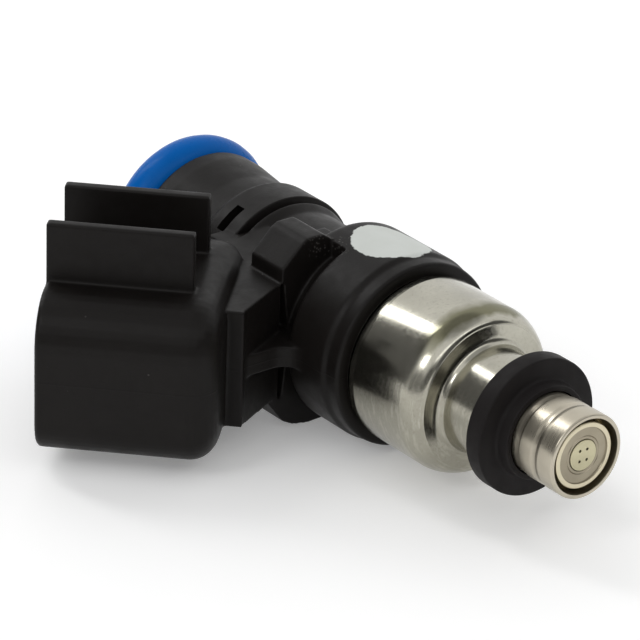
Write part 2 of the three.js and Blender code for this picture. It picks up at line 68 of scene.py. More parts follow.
BARREL_RIM = 7.45
BARREL = 7.68
BARREL_FRONT = 19.55
BARREL_SHOULDER = 28.3
CLIP_NECK = 6.0
CLIP_NECK_FRONT = 30.0
CLIP_NECK_END = 34.7
COLLAR = 6.74
SLOT_RADIUS = 5.3
SLOT_FRONT = 35.75
LIP = 6.4
SLOT_END = 36.2
COLLAR_END = 39.5
UPPER_NECK = 6.35
FLANGE = 6.72
FLANGE_START = 45.2
BARREL_END = 46.8
COIL_BORE = 6.3
COIL_BORE_END = 21.65
CORE_BORE = 3.35
CORE_BORE_END = 30.7
TUBE_BORE = 3.78

CROSSING = 17.5
MOUTH = 28.75
SHELL_BACK = 15.1
SHELL_FLOOR = 17.6
SHELL_HALF_WIDTH = 8.7
SHELL_HALF_HEIGHT = 6.2
SHELL_WALL = 1.5
SHELL_LOW_RADIUS = 2.4
SHELL_HIGH_RADIUS = 3.7
SMALLEST_RADIUS = 0.3
TRIM_X = -7.0
RAIL_BACK = 17.6
RAIL_TOP = 10.9
RAIL_SPACING = 7.1
RAIL_THICKNESS = 1.0

NECK_HALF_HEIGHT = 4.8
FLANGE_REACH = 13.8
FLANGE_HALF_WIDTH = 3.7
BLOCK_FRONT = 27.1
BLOCK_END = 31.1
BLOCK_LEFT = -7.05
WEB_END = 37.5

# The most of an edge that the rounding of one of its corners may take.
EDGE_SHARE = 0.49


def turn_points(centre, radius, start, end, steps):
    """Points of an arc, angles in degrees."""
    points = []
    for i in range(steps + 1):
        angle = math.radians(start + (end - start) * i / steps)
        points.append((centre[0] + radius * math.cos(angle), centre[1] + radius * math.sin(angle)))
    return points


def rounded(outline, steps=4):
    """Rounds an outline's corners. Each corner is (x, y) or (x, y, radius)."""
    points = []
    count = len(outline)
    for i, corner in enumerate(outline):
        here = Vector(corner[:2])
        radius = corner[2] if len(corner) > 2 else 0
        if radius == 0:
            points.append(tuple(here))
            continue
        back = Vector(outline[i - 1][:2]) - here
        ahead = Vector(outline[(i + 1) % count][:2]) - here
        half = back.angle(ahead) / 2
        reach = min(radius / math.tan(half), back.length * EDGE_SHARE, ahead.length * EDGE_SHARE)
        first = here + back.normalized() * reach
        last = here + ahead.normalized() * reach
        for k in range(steps + 1):
            t = k / steps
            points.append(tuple(first * (1 - t) ** 2 + here * (2 * t * (1 - t)) + last * t ** 2))
    return points


def new_object(name, bm):
    """An object holding this mesh, in millimetres."""
    bmesh.ops.recalc_face_normals(bm, faces=bm.faces)
    mesh = bpy.data.meshes.new(name)
    bm.to_mesh(mesh)
    bm.free()
    made = bpy.data.objects.new(name, mesh)
    bpy.context.scene.collection.objects.link(made)
    return made


def lathe(name, outline, segments=SEGMENTS):
    """Turns a closed [radius, y] outline about the injector axis."""
    bm = bmesh.new()
    columns = []
    for k in range(segments):
        angle = 2 * math.pi * k / segments
        columns.append([
            bm.verts.new((r * math.cos(angle), y, r * math.sin(angle))) if r > 0 else None
            for r, y in outline
        ])
    poles = {i: bm.verts.new((0, y, 0)) for i, (r, y) in enumerate(outline) if r == 0}
    count = len(outline)
    for k in range(segments):
        here, following = columns[k], columns[(k + 1) % segments]
        for i in range(count):
            j = (i + 1) % count
            if i in poles and j in poles:
                continue
            corners = [poles.get(i) or here[i], poles.get(j) or here[j]]
            if j not in poles:
                corners.append(following[j])
            if i not in poles:
                corners.append(following[i])
            bm.faces.new(corners)
    return new_object(name, bm)


def loft(name, rings):
    """Skins rings of points that have the same count, and closes both ends."""
    bm = bmesh.new()
    made = [[bm.verts.new(p) for p in ring] for ring in rings]
    count = len(rings[0])
    for first, second in zip(made, made[1:]):
        for i in range(count):
            j = (i + 1) % count
            bm.faces.new((first[i], first[j], second[j], second[i]))
    bm.faces.new(made[0])
    bm.faces.new(made[-1])
    return new_object(name, bm)


def prism(name, outline, low, high):
    """Stands an XY outline up from one height to another."""
    return loft(name, [[(x, y, low) for x, y in outline], [(x, y, high) for x, y in outline]])


def prism_along_y(name, outline, front, end):
    """Extrudes an XZ outline along the injector axis."""
    return loft(name, [[(x, front, z) for x, z in outline], [(x, end, z) for x, z in outline]])


def box_between(name, low, high):
    outline = [(low[0], low[1]), (high[0], low[1]), (high[0], high[1]), (low[0], high[1])]
    return prism(name, outline, low[2], high[2])


def combine(target, tools, operation):
    """Joins tools to a solid or cuts them from it."""
    for tool in tools:
        modifier = target.modifiers.new("combine", "BOOLEAN")
        modifier.operation = operation
        modifier.solver = "MANIFOLD"
        modifier.object = tool
        apply_modifiers(target)
        bpy.data.objects.remove(tool)
    return target


def apply_modifiers(target):
    depsgraph = bpy.context.evaluated_depsgraph_get()
    mesh = bpy.data.meshes.new_from_object(target.evaluated_get(depsgraph))
    target.modifiers.clear()
    target.data = mesh


def place(made, material, slot, stands_for, smooth_angle=35):
    """Brings a finished piece to metres, shades it and hands it to the frame."""
    made.data.transform(Matrix.Scale(MM, 4))
    made.data.materials.clear()
    made.data.materials.append(material)
    made.data.shade_smooth()
    made.data.set_sharp_from_angle(angle=math.radians(smooth_angle))
    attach(made, BODY)
    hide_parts(*stands_for)


# ---------- connector frame ----------

HALF_TURN = math.sqrt(0.5)


def from_connector(reach, side, z=0.0):
    """A point from its reach along the connector, its place across it, and its height."""
    return (-HALF_TURN * (reach + side), CROSSING + HALF_TURN * (reach - side), z)


def shell_section(inset, steps=8):
    """The shell's (side, z) outline, drawn in by an inset."""
    half = SHELL_HALF_WIDTH - inset
    low = inset - SHELL_HALF_HEIGHT
    high = SHELL_HALF_HEIGHT - inset
    low_radius = max(SHELL_LOW_RADIUS - inset * 0.6, SMALLEST_RADIUS)
    high_radius = max(SHELL_HIGH_RADIUS - inset, SMALLEST_RADIUS)
    return (
        turn_points((half - low_radius, low + low_radius), low_radius, -90, 0, steps)
        + turn_points((half - high_radius, high - high_radius), high_radius, 0, 90, steps)
        + turn_points((-half + high_radius, high - high_radius), high_radius, 90, 180, steps)
        + turn_points((-half + low_radius, low + low_radius), low_radius, 180, 270, steps)
    )


def shell_rings(stations):
    """Rings of the shell's section at (reach, inset) stations."""
    return [
        [from_connector(reach, side, z) for side, z in shell_section(inset)]
        for reach, inset in stations
    ]


def connector_box(name, reach_low, reach_high, side_low, side_high, z_low, z_high):
    outline = [
        from_connector(reach, side)[:2]
        for reach, side in (
            (reach_low, side_low), (reach_high, side_low), (reach_high, side_high), (reach_low, side_high),
        )
    ]
    return prism(name, outline, z_low, z_high)


# ---------- moulded housing ----------

def barrel():
    return lathe("barrel", rounded([
        (0, BARREL_FRONT), (BARREL_RIM, BARREL_FRONT, 0.25), (BARREL_RIM, BARREL_FRONT + 1.25, 0.1),
        (BARREL, BARREL_FRONT + 1.7, 0.2), (BARREL, BARREL_SHOULDER, 0.9),
        (CLIP_NECK + 0.5, 28.9, 0.3), (CLIP_NECK, CLIP_NECK_FRONT, 0.3), (CLIP_NECK, CLIP_NECK_END, 0.5),
        (LIP, SLOT_FRONT - 0.2, 0.1), (LIP, SLOT_FRONT + 0.25), (COLLAR, SLOT_FRONT + 0.25),
        (COLLAR, COLLAR_END, 0.15), (UPPER_NECK, 39.9, 0.3), (UPPER_NECK, 42.0, 2),
        (FLANGE, FLANGE_START, 1), (FLANGE, BARREL_END, 0.2), (0, BARREL_END),
    ]))


def shell():
    rounding = 2.1
    stations = [
        (SHELL_BACK + rounding * (1 - math.cos(turn)), rounding * (1 - math.sin(turn)))
        for turn in (math.radians(angle) for angle in (0, 15, 30, 45, 60, 75, 90))
    ]
    body = loft("shell", shell_rings(stations + [(MOUTH - 0.25, 0), (MOUTH, 0.2)]))
    beside_barrel = box_between("beside_barrel", (TRIM_X, CROSSING, -15), (12, 60, 15))
    return combine(body, [beside_barrel], "DIFFERENCE")


def shell_cavity():
    return loft("cavity", shell_rings([
        (SHELL_FLOOR, SHELL_WALL + 0.8), (SHELL_FLOOR + 0.3, SHELL_WALL + 0.25),
        (SHELL_FLOOR + 1, SHELL_WALL + 0.05), (MOUTH - 0.5, SHELL_WALL - 0.1), (MOUTH + 1, SHELL_WALL - 0.6),
    ]))


def rails():
    inner = (RAIL_SPACING - RAIL_THICKNESS) / 2
    outer = (RAIL_SPACING + RAIL_THICKNESS) / 2
    return [
        connector_box("rail", RAIL_BACK, MOUTH, low, high, SHELL_HALF_HEIGHT - 1, RAIL_TOP)
        for low, high in ((inner, outer), (-outer, -inner))
    ]


def latch_ramp():
    front, back, half_width, height = 26.5, 22.9, 1.9, 2.1
    top = SHELL_HALF_HEIGHT
    profile = [(front, top - 0.5), (front, top + 0.2), (back, top + height), (back, top - 0.5)]
    return loft("latch", [
        [from_connector(reach, side, z) for reach, z in profile]
        for side in (-half_width, half_width)
    ])


def neck():
    buried = SHELL_BACK + 0.8
    outline = [
        (0, BLOCK_FRONT), (BLOCK_LEFT - 0.4, BLOCK_FRONT),
        from_connector(FLANGE_REACH, FLANGE_HALF_WIDTH - 0.4)[:2],
        from_connector(FLANGE_REACH, FLANGE_HALF_WIDTH)[:2], from_connector(buried, FLANGE_HALF_WIDTH)[:2],
        from_connector(buried, -7)[:2], (TRIM_X + 0.6, WEB_END), (0, WEB_END),
    ]
    return prism("neck", outline, -NECK_HALF_HEIGHT, NECK_HALF_HEIGHT)


def middle_rib():
    half_thickness, front, foot, blend, left = 0.85, 25.05, 22.4, 1.8, -12.2
    side = 0.08 - math.sqrt(BARREL ** 2 - half_thickness ** 2)
    outline = [(0, BLOCK_FRONT + 1), (left, BLOCK_FRONT + 1), (left, front)]
    for i in range(9):
        t = i / 8
        outline.append((side - blend * (1 - t) ** 2, foot + (front - foot) * (1 - t ** 2)))
    outline += [(0, foot)]
    return prism("rib", outline, -half_thickness, half_thickness)


def clip_blocks():
    upper = [
        (BLOCK_LEFT, 5.9), (-5.1, 7.75), (-4.7, 7.97), (-4.2, 8),
        (-3.2, 7.98), (-2.7, 7.65), (-1.2, 6.35), (0, 6.3),
    ]
    lower = [(0, -6.6), (-1.2, -6.6), (-2.8, -7.7), (-4, -7.8), (-5.6, -7.5), (-6.55, -7), (-8.3, -4.7)]
    return prism_along_y("blocks", [(BLOCK_LEFT, -NECK_HALF_HEIGHT)] + upper + lower, BLOCK_FRONT, BLOCK_END)


def block_reliefs():
    """Cuts in the barrel in front of the blocks."""
    floor_radius, front, right, low = 6.4, 25.3, -2.4, 0.95
    made = []
    for below, above in ((low, 12), (-12, -low)):
        section = [
            (floor_radius, front), (BARREL + 1, front),
            (BARREL + 1, BLOCK_FRONT), (floor_radius, BLOCK_FRONT),
        ]
        keep = box_between("keep", (-12, 20, below), (right, 40, above))
        made.append(combine(lathe("relief", section), [keep], "INTERSECT"))
    return made


def corner_grooves():
    """Upright grooves that part the blocks' fronts from the web."""
    high, low = NECK_HALF_HEIGHT, 0.95
    return [
        prism_along_y(
            "groove", [(-7.1, side * high), (-6.85, side * high), (-6.4, side * low), (-7.1, side * low)],
            BLOCK_FRONT - 0.5, BLOCK_FRONT + 0.8,
        )
        for side in (1, -1)
    ]


def neck_fillets():
    """Fillets between the clip neck and the web's upper and lower faces."""
    curve = [
        (-6, 0), (-5.5, 0.02), (-5, 0.07), (-4.6, 0.14), (-4.2, 0.25),
        (-3.8, 0.37), (-3.4, 0.5), (-3, 0.63), (-2.6, 0.75),
    ]
    return [
        prism_along_y(
            "fillet", [(x, side * (NECK_HALF_HEIGHT + rise)) for x, rise in curve]
            + [(-1, side * NECK_HALF_HEIGHT), (-1, 0), (-6, 0)],
            BLOCK_END - 0.5, SLOT_FRONT,
        )
        for side in (1, -1)
    ]


def collar_slot():
    """The ring-shaped gap in front of the collar, stopped by the web."""
    bevel = 0.1
    ring = lathe("slot", [
        (SLOT_RADIUS, SLOT_FRONT), (LIP - bevel, SLOT_FRONT), (LIP + 0.1, SLOT_FRONT - 2 * bevel),
        (COLLAR + 1, SLOT_FRONT - 2 * bevel), (COLLAR + 1, SLOT_END + 1.1),
        (COLLAR - bevel, SLOT_END), (SLOT_RADIUS, SLOT_END),
    ])
    web = box_between("web", (-12, 30, -NECK_HALF_HEIGHT - 0.05), (-3, 40, NECK_HALF_HEIGHT + 0.05))
    return combine(ring, [web], "DIFFERENCE")


def collar_window():
    """A small slot through the collar, turned round the axis to where it shows."""
    angle, place_y, half_length, half_width = -126, 38, 0.45, 1.25
    turn = Matrix.Rotation(math.radians(angle), 4, "Y")
    window = box_between(
        "window", (COLLAR - 1.2, -half_length, -half_width), (COLLAR + 1, half_length, half_width),
    )
    window.data.transform(Matrix.Translation((0, place_y, 0)) @ turn)
    return window


def bore():
    return lathe("bore", [
        (0, BARREL_FRONT - 1), (COIL_BORE, BARREL_FRONT - 1), (COIL_BORE, COIL_BORE_END),
        (CORE_BORE, COIL_BORE_END), (CORE_BORE, CORE_BORE_END), (TUBE_BORE, CORE_BORE_END + 0.4),
        (TUBE_BORE, BARREL_END + 1), (0, BARREL_END + 1),
    ])


def housing():
    made = combine(barrel(), block_reliefs(), "DIFFERENCE")
    added = [neck(), *neck_fillets(), clip_blocks(), middle_rib(), shell(), latch_ramp(), *rails()]
    combine(made, added, "UNION")
    combine(made, [*corner_grooves(), shell_cavity(), bore()], "DIFFERENCE")
    made.name = "housing"
    remesh = made.modifiers.new("remesh", "REMESH")
    remesh.mode = "VOXEL"
    remesh.voxel_size = VOXEL
    smooth = made.modifiers.new("smooth", "SMOOTH")
    smooth.factor = 0.5
    smooth.iterations = SMOOTHING
    apply_modifiers(made)
    return combine(made, [collar_slot(), collar_window()], "DIFFERENCE")


# ---------- turned pieces ----------

def metal_can():
    """The drawn can. Its shoulder is a flattened quarter ellipse."""
    radius, rim, face, shoulder_end = 6.75, 5.85, 11.25, 13.0
    shoulder_steps, flatness = 12, 1.33
    shoulder = []
    for i in range(shoulder_steps + 1):
        turn = math.pi / 2 * (1 - i / shoulder_steps)
        along = max(math.sin(turn), 0) ** flatness
        across = max(math.cos(turn), 0) ** flatness
        shoulder.append((rim + (radius - rim) * across, shoulder_end - (shoulder_end - face - 0.08) * along))
    return lathe("can", rounded([
        (3.36, 6.9), (4.2, 6.9, 0.1), (4.25, face, 0.75), (rim - 0.08, face, 0.06), *shoulder,
        (radius, 18.45, 0.12), (6.6, 18.55, 0.05), (6.6, 19.2, 0.1), (6.2, 19.2), (6.2, 21.5), (5.9, 21.5),
        (5.9, 12.3), (3.36, 12.3),
    ], 6), 192)


def nozzle_sleeve():
    return lathe("sleeve", rounded([
        (3.0, -0.3, 0.04), (3.34, -0.3, 0.42), (3.34, 1.25, 0.3), (3.26, 1.6, 0.3), (3.26, 1.84, 0.2),
        (3.31, 2.1, 0.2), (3.31, 3.3, 0.06), (3.22, 3.42, 0.06), (3.22, 4.3), (3.25, 4.4), (3.25, 16.4),
        (2.75, 16.4), (2.75, 1.2), (3.0, 0.9),
    ], 6), 192)


def valve_seat():
    return lathe("seat", rounded([
        (1.27, 0.06, 0.03), (1.46, 0.06), (1.5, 0.1), (1.54, 0.06), (2.2, 0.08, 0.03), (2.24, -0.05, 0.04),
        (2.62, -0.05, 0.1), (2.62, 2.2), (1.95, 2.2), (1.5, 1.6), (1.5, 1.45), (0.75, 0.7), (0.75, 0.3),
        (1.27, 0.3),
    ]), 192)


def orifice_plate():
    radius, thickness, hole_radius, half_x, half_z = 1.22, 0.25, 0.12, 0.34, 0.425
    plate = lathe("plate", rounded([(0, 0), (radius, 0, 0.05), (radius, thickness), (0, thickness)]), 96)
    holes = []
    for x in (-half_x, half_x):
        for z in (-half_z, half_z):
            hole = lathe("hole", [(0, -1), (hole_radius, -1), (hole_radius, 1), (0, 1)], 24)
            hole.data.transform(Matrix.Translation((x, 0, z)))
            holes.append(hole)
    return combine(plate, holes, "DIFFERENCE")


def inlet_tube():
    return lathe("inlet", rounded([
        (2.75, 19), (3.25, 19), (3.25, 30.8), (3.68, 31.2), (3.68, 50.3, 0.1), (3.93, 50.55, 0.1),
        (5.3, 50.55, 0.15), (5.3, 51.2, 0.15), (3.4, 51.2, 0.2), (3.15, 50.95, 0.1), (3.15, 31.4),
        (2.75, 31.0),
    ]), 192)


def filter_frame():
    frame_tip, tip_end, ring_front, end = 37.9, 38.6, 45.3, 46.8
    strut_inner, strut_outer, strut_half_width, past_the_ring = 2.3, 2.75, 0.4, 3.5
    ring = lathe("filter", rounded([
        (2.1, ring_front), (3.08, ring_front), (3.08, end, 0.15), (2.1, end, 0.2),
    ]), 96)
    cap = lathe("cap", [
        (0, frame_tip), (2.45, frame_tip), (strut_outer, frame_tip + 0.3),
        (strut_outer, tip_end), (0, tip_end),
    ], 96)
    struts = []
    for half_x, half_z in ((past_the_ring, strut_half_width), (strut_half_width, past_the_ring)):
        cage = lathe("cage", [
            (strut_inner, frame_tip + 0.5), (strut_outer, frame_tip + 0.5),
            (strut_outer, ring_front + 0.5), (strut_inner, ring_front + 0.5),
        ], 96)
        cross = box_between("cross", (-half_x, frame_tip, -half_z), (half_x, end, half_z))
        struts.append(combine(cage, [cross], "INTERSECT"))
    return combine(ring, [cap, *struts], "UNION")


def terminal_pin(route):
    """A bent blade with softened edges and a tapered tip, through points in the parting plane."""
    half_width, half_thickness, chamfer, tip_size = 0.4, 0.32, 0.07, 0.55
    corners = []
    for along, across in ((1, 1), (-1, 1), (-1, -1), (1, -1)):
        pair = [
            (along * half_width, across * (half_thickness - chamfer)),
            (along * (half_width - chamfer), across * half_thickness),
        ]
        corners += pair if along == across else pair[::-1]
    path = [Vector(point) for point in route]
    neck_of_tip = path[-1].lerp(path[-2], 1 / (path[-1] - path[-2]).length)
    path.insert(-1, neck_of_tip)
    rings = []
    for i, here in enumerate(path):
        back = (here - path[i - 1]).normalized() if i else (path[1] - here).normalized()
        ahead = (path[i + 1] - here).normalized() if i + 1 < len(path) else back
        along = (back + ahead).normalized()
        stretch = 1 / along.dot(ahead)
        size = tip_size if i + 1 == len(path) else 1
        across = Vector((-along.y, along.x)) * stretch
        rings.append([
            (here.x + across.x * u * size, here.y + across.y * u * size, v * size)
            for u, v in corners
        ])
    return loft("pin", rings)


def o_ring():
    return lathe("o_ring", turn_points((5.62, 48.6), 1.8, 0, 345, 23), 192)


def lower_seal():
    return lathe("seal", rounded([
        (3.34, 4.15), (3.72, 4.15, 0.12), (3.85, 5.2, 0.3), (5.45, 5.25, 0.16),
        (5.45, 6.8, 0.16), (3.34, 6.8),
    ]), 192)


# ---------- materials ----------

class Nodes:
    """A node tree with short calls for the nodes used here."""

    def __init__(self, tree, coordinates):
        self.tree = tree
        self.place = self.add("ShaderNodeTexCoord").outputs[coordinates]

    def add(self, kind, inputs=(), **settings):
        node = self.tree.nodes.new(kind)
        for setting, value in settings.items():
            setattr(node, setting, value)
        for socket, value in dict(inputs).items():
            self.feed(node.inputs[socket], value)
        return node

    def feed(self, socket, value):
        if isinstance(value, bpy.types.NodeSocket):
            self.tree.links.new(value, socket)
        else:
            socket.default_value = value

    def math(self, operation, first, second=0.0):
        return self.add("ShaderNodeMath", {0: first, 1: second}, operation=operation).outputs[0]

    def noise(self, scale, detail=3.0, roughness=0.5, vector=None):
        node = self.add("ShaderNodeTexNoise", {
            "Vector": vector or self.place, "Scale": scale, "Detail": detail, "Roughness": roughness,
        })
        return node.outputs["Fac"]

    def span(self, value, low, high, to_low, to_high):
        node = self.add("ShaderNodeMapRange", {0: value, 1: low, 2: high, 3: to_low, 4: to_high})
        return node.outputs[0]

    def mix(self, amount, first, second):
        node = self.add("ShaderNodeMix", {"Factor": amount}, data_type="RGBA")
        self.feed(node.inputs[6], first)
        self.feed(node.inputs[7], second)
        return node.outputs[2]

    def bump(self, height, strength, distance, below=None):
        inputs = {"Height": height, "Strength": strength, "Distance": distance}
        if below:
            inputs["Normal"] = below
        return self.add("ShaderNodeBump", inputs).outputs[0]

    def towards(self, direction, edge, core):
        """From 0 at one cosine from a direction to 1 at another, eased."""
        inputs = {0: self.place, 1: Vector(direction).normalized()}
        dot = self.add("ShaderNodeVectorMath", inputs, operation="DOT_PRODUCT")
        inputs = {0: dot.outputs[1], 1: edge, 2: core}
        return self.add("ShaderNodeMapRange", inputs, interpolation_type="SMOOTHSTEP").outputs[0]

    def spot(self, centre, radii):
        """Squared distance from a centre in millimetres, as a share of the radii. It is 1 at the edge."""
        inputs = {0: self.place, 1: [c * MM for c in centre]}
        place = self.add("ShaderNodeVectorMath", inputs, operation="SUBTRACT")
        inputs = {0: place.outputs[0], 1: [r * MM for r in radii]}
        sized = self.add("ShaderNodeVectorMath", inputs, operation="DIVIDE")
        inputs = {0: sized.outputs[0], 1: sized.outputs[0]}
        return self.add("ShaderNodeVectorMath", inputs, operation="DOT_PRODUCT").outputs[1]

    def cells(self, scale):
        return self.add("ShaderNodeTexVoronoi", {"Vector": self.place, "Scale": scale}).outputs

    def turned_place(self, around, along):
        """Coordinates that run round the injector axis and along it, for lathe marks."""
        split = self.add("ShaderNodeSeparateXYZ", {0: self.place})
        x, y, z = split.outputs
        radius = self.math("SQRT", self.math("ADD", self.math("MULTIPLY", x, x), self.math("MULTIPLY", z, z)))
        return self.add("ShaderNodeCombineXYZ", {
            "X": self.math("MULTIPLY", x, around),
            "Y": self.math("MULTIPLY", self.math("ADD", y, radius), along),
            "Z": self.math("MULTIPLY", z, around),
        }).outputs[0]


class Shader(Nodes):
    """A Principled material."""

    def __init__(self, name, **constants):
        self.material = bpy.data.materials.new(name)
        self.material.use_nodes = True
        super().__init__(self.material.node_tree, "Object")
        self.surface = self.tree.nodes["Principled BSDF"]
        for socket, value in constants.items():
            self.surface.inputs[socket.replace("_", " ")].default_value = value

    def set(self, socket, value):
        self.feed(self.surface.inputs[socket], value)


def black_nylon():
    """Satin glass-filled moulding, with a paint mark on the barrel and painted glints on a patch at the front
    of the upper clip block.
    """
    s = Shader("black_nylon", Specular_IOR_Level=0.15)
    z = s.add("ShaderNodeSeparateXYZ", {0: s.place}).outputs[2]

    plastic = s.mix(s.noise(260, 4), (0.0055, 0.0047, 0.0042, 1), (0.009, 0.0075, 0.0068, 1))
    dust = s.cells(700.0)
    speck_centres = s.span(dust["Distance"], 0.02, 0.07, 1.0, 0.0)
    chosen = s.math("GREATER_THAN", s.add("ShaderNodeSeparateColor", {0: dust["Color"]}).outputs[0], 0.72)
    specks = s.math("MULTIPLY", speck_centres, chosen)
    # Painted glints: pale dots on a patch at the front of the upper clip block stand in for light sparkling
    # on its textured face.
    glint_patch = s.spot((-3.4, 26.2, 7.2), (2.6, 1.6, 1.5))
    glint_cells = s.cells(3800.0)["Distance"]
    glints = s.math("MULTIPLY", s.span(glint_cells, 0.2, 0.36, 1.0, 0.0), s.span(glint_patch, 0.4, 0.9, 0.65, 0.0))
    # The pale mix holds real dust specks and the painted glints.
    pale = s.math("MAXIMUM", s.math("MULTIPLY", specks, 0.5), glints)
    plastic = s.mix(pale, plastic, (0.09, 0.085, 0.08, 1))

    ragged = s.math("MULTIPLY", s.math("SUBTRACT", s.noise(1500, 3, 0.65), 0.5), 0.3)
    reach = s.math("ADD", s.spot((0.95, 24.1, 7.3), (3.1, 3.2, 1000)), ragged)
    upper = s.math("GREATER_THAN", z, 0.0055)
    pinholes = s.math("LESS_THAN", s.cells(800.0)["Distance"], 0.035)
    paint = s.math("MULTIPLY", s.span(reach, 0.95, 1.0, 1.0, 0.0), upper)
    paint = s.math("MULTIPLY", paint, s.math("SUBTRACT", 1.0, pinholes))
    chalk = s.mix(s.noise(700, 4), (0.59, 0.615, 0.58, 1), (0.66, 0.685, 0.66, 1))
    s.set("Base Color", s.mix(paint, plastic, chalk))

    rough = s.span(s.noise(900, 5, 0.6), 0.3, 0.7, 0.36, 0.5)
    s.set("Roughness", s.math("ADD", rough, s.math("MULTIPLY", paint, 0.15)))
    parting = s.span(s.math("ABSOLUTE", z), 0.00003, 0.00008, 1.0, 0.0)
    normal = s.bump(parting, 0.35, 0.00003)
    normal = s.bump(s.noise(5200, 2, 0.7), 0.25, 0.00003, normal)
    normal = s.bump(paint, 0.4, 0.00004, normal)
    s.set("Normal", s.bump(s.noise(420, 3), 0.12, 0.0002, normal))
    return s.material


def turned_steel(name, colour, rough, marks=0.12, recolour=None):
    """Metal with faint lathe marks and smudges. An optional second pass colours part of it again: painted
    shade and a painted dark reflection with real scratches on the can, a paler rim on the seat.
    """
    s = Shader(name, Metallic=1.0)
    lines = s.noise(1.0, 3, 0.6, s.turned_place(60, 9000))
    smudge = s.noise(300, 4)
    darker = tuple(c * 0.82 for c in colour[:3]) + (1,)
    shade = s.mix(s.span(smudge, 0.35, 0.7, 0.0, 1.0), colour, darker)
    finish = s.math("ADD", s.math("MULTIPLY", lines, 0.4), s.math("MULTIPLY", smudge, 0.6))
    finish = s.span(finish, 0.3, 0.7, rough * 0.75, rough * 1.35)
    if recolour:
        shade, finish = recolour(s, shade, finish)
    s.set("Base Color", shade)
    s.set("Roughness", finish)
    s.set("Normal", s.bump(lines, marks, 0.00002))
    return s.material


def seat_rim(s, shade, finish):
    """The seat's raised rim is paler than its face."""
    x, _, z = s.add("ShaderNodeSeparateXYZ", {0: s.place}).outputs
    radius = s.math("SQRT", s.math("ADD", s.math("MULTIPLY", x, x), s.math("MULTIPLY", z, z)))
    rim = s.span(radius, 0.00221, 0.00227, 0.0, 1.0)
    return s.mix(rim, shade, (0.66, 0.6, 0.44, 1)), finish


def can_shade_and_wear(s, shade, finish):
    """Plating with a painted dark olive reflection on the upper side of the shoulder, and painted shade that
    darkens the lower sides, where it is also scuffed and duller.
    """
    _, y, z = s.add("ShaderNodeSeparateXYZ", {0: s.place}).outputs
    wander = s.math("MULTIPLY", s.math("SUBTRACT", s.noise(500, 3), 0.5), 0.0012)
    along = s.math("ADD", y, wander)
    # Painted reflection: a dark olive band on the upper side of the shoulder stands in for a dim part of the
    # room mirrored there.
    band_start = s.span(along, 0.0117, 0.0121, 0.0, 1.0)
    band_end = s.span(along, 0.0128, 0.0138, 1.0, 0.0)
    band = s.math("MULTIPLY", band_start, band_end)
    band = s.math("MULTIPLY", band, s.span(z, 0.0038, 0.0055, 0.0, 1.0))
    shade = s.mix(s.math("MULTIPLY", band, 0.8), shade, (0.12, 0.115, 0.055, 1))
    # Painted shade: the lower sides are darkened towards a dull grey-brown. The same region also gets real
    # scuffs and a little more roughness.
    low = s.span(s.math("ADD", z, s.math("MULTIPLY", wander, 2.0)), 0.001, 0.0045, 1.0, 0.0)
    shade = s.mix(s.math("MULTIPLY", low, 0.55), shade, (0.3, 0.285, 0.23, 1))
    scratches = s.noise(1.0, 4, 0.75, s.turned_place(500, 2500))
    scuffed = s.math("MULTIPLY", low, s.span(scratches, 0.5, 0.62, 0.0, 1.0))
    shade = s.mix(s.math("MULTIPLY", scuffed, 0.35), shade, (0.62, 0.6, 0.52, 1))
    grain = s.noise(4500, 2, 0.7)
    shade = s.mix(s.span(grain, 0.55, 0.75, 0.0, 0.35), shade, (0.25, 0.24, 0.18, 1))
    finish = s.math("ADD", finish, s.span(grain, 0.35, 0.65, -0.03, 0.06))
    return shade, s.math("ADD", finish, s.math("MULTIPLY", low, 0.04))


def rubber(name, colour, second, rough, **constants):
    s = Shader(name, **constants)
    s.set("Base Color", s.mix(s.noise(380, 3), colour, second))
    s.set("Roughness", s.span(s.noise(800, 4), 0.3, 0.7, rough * 0.85, rough * 1.15))
    s.set("Normal", s.bump(s.noise(3500, 3), 0.15, 0.00003))
    return s.material


def plain_plastic(name, colour, rough):
    s = Shader(name)
    darker = tuple(c * 0.9 for c in colour[:3]) + (1,)
    s.set("Base Color", s.mix(s.noise(500, 3), colour, darker))
    s.set("Roughness", s.span(s.noise(1500, 3), 0.3, 0.7, rough * 0.85, rough * 1.15))
    s.set("Normal", s.bump(s.noise(3000, 2), 0.1, 0.00003))
    return s.material


NYLON = black_nylon()
BLACK_RUBBER = rubber(
    "black_rubber", (0.008, 0.0065, 0.0063, 1), (0.013, 0.011, 0.011, 1), 0.6, Specular_IOR_Level=0.15,
)
BLUE_RUBBER = rubber(
    "blue_rubber", (0.0005, 0.106, 0.41, 1), (0.0007, 0.122, 0.465, 1), 0.28, Specular_IOR_Level=0.08,
)
STAINLESS = turned_steel("stainless", (0.66, 0.635, 0.55, 1), 0.17)
SLEEVE_STEEL = turned_steel("sleeve_steel", (0.55, 0.505, 0.41, 1), 0.3, 0.25)
CAN_STEEL = turned_steel("can_steel", (0.49, 0.475, 0.405, 1), 0.14, recolour=can_shade_and_wear)
SEAT_STEEL = turned_steel("seat_steel", (0.36, 0.32, 0.24, 1), 0.32, recolour=seat_rim)
PLATE_STEEL = turned_steel("plate_steel", (0.6, 0.56, 0.38, 1), 0.42)
BALL_STEEL = turned_steel("ball_steel", (0.8, 0.8, 0.82, 1), 0.08, 0.03)
IRON = turned_steel("magnet_iron", (0.5, 0.5, 0.5, 1), 0.35)
SPRING_STEEL = turned_steel("spring_steel", (0.6, 0.61, 0.62, 1), 0.25)
COPPER = turned_steel("copper", (0.72, 0.32, 0.16, 1), 0.3)
TIN = turned_steel("tin_plate", (0.76, 0.76, 0.75, 1), 0.3)
NATURAL_NYLON = plain_plastic("natural_nylon", (0.8, 0.76, 0.66, 1), 0.5)
FILTER_MESH = plain_plastic("filter_mesh", (0.8, 0.83, 0.83, 1), 0.7)

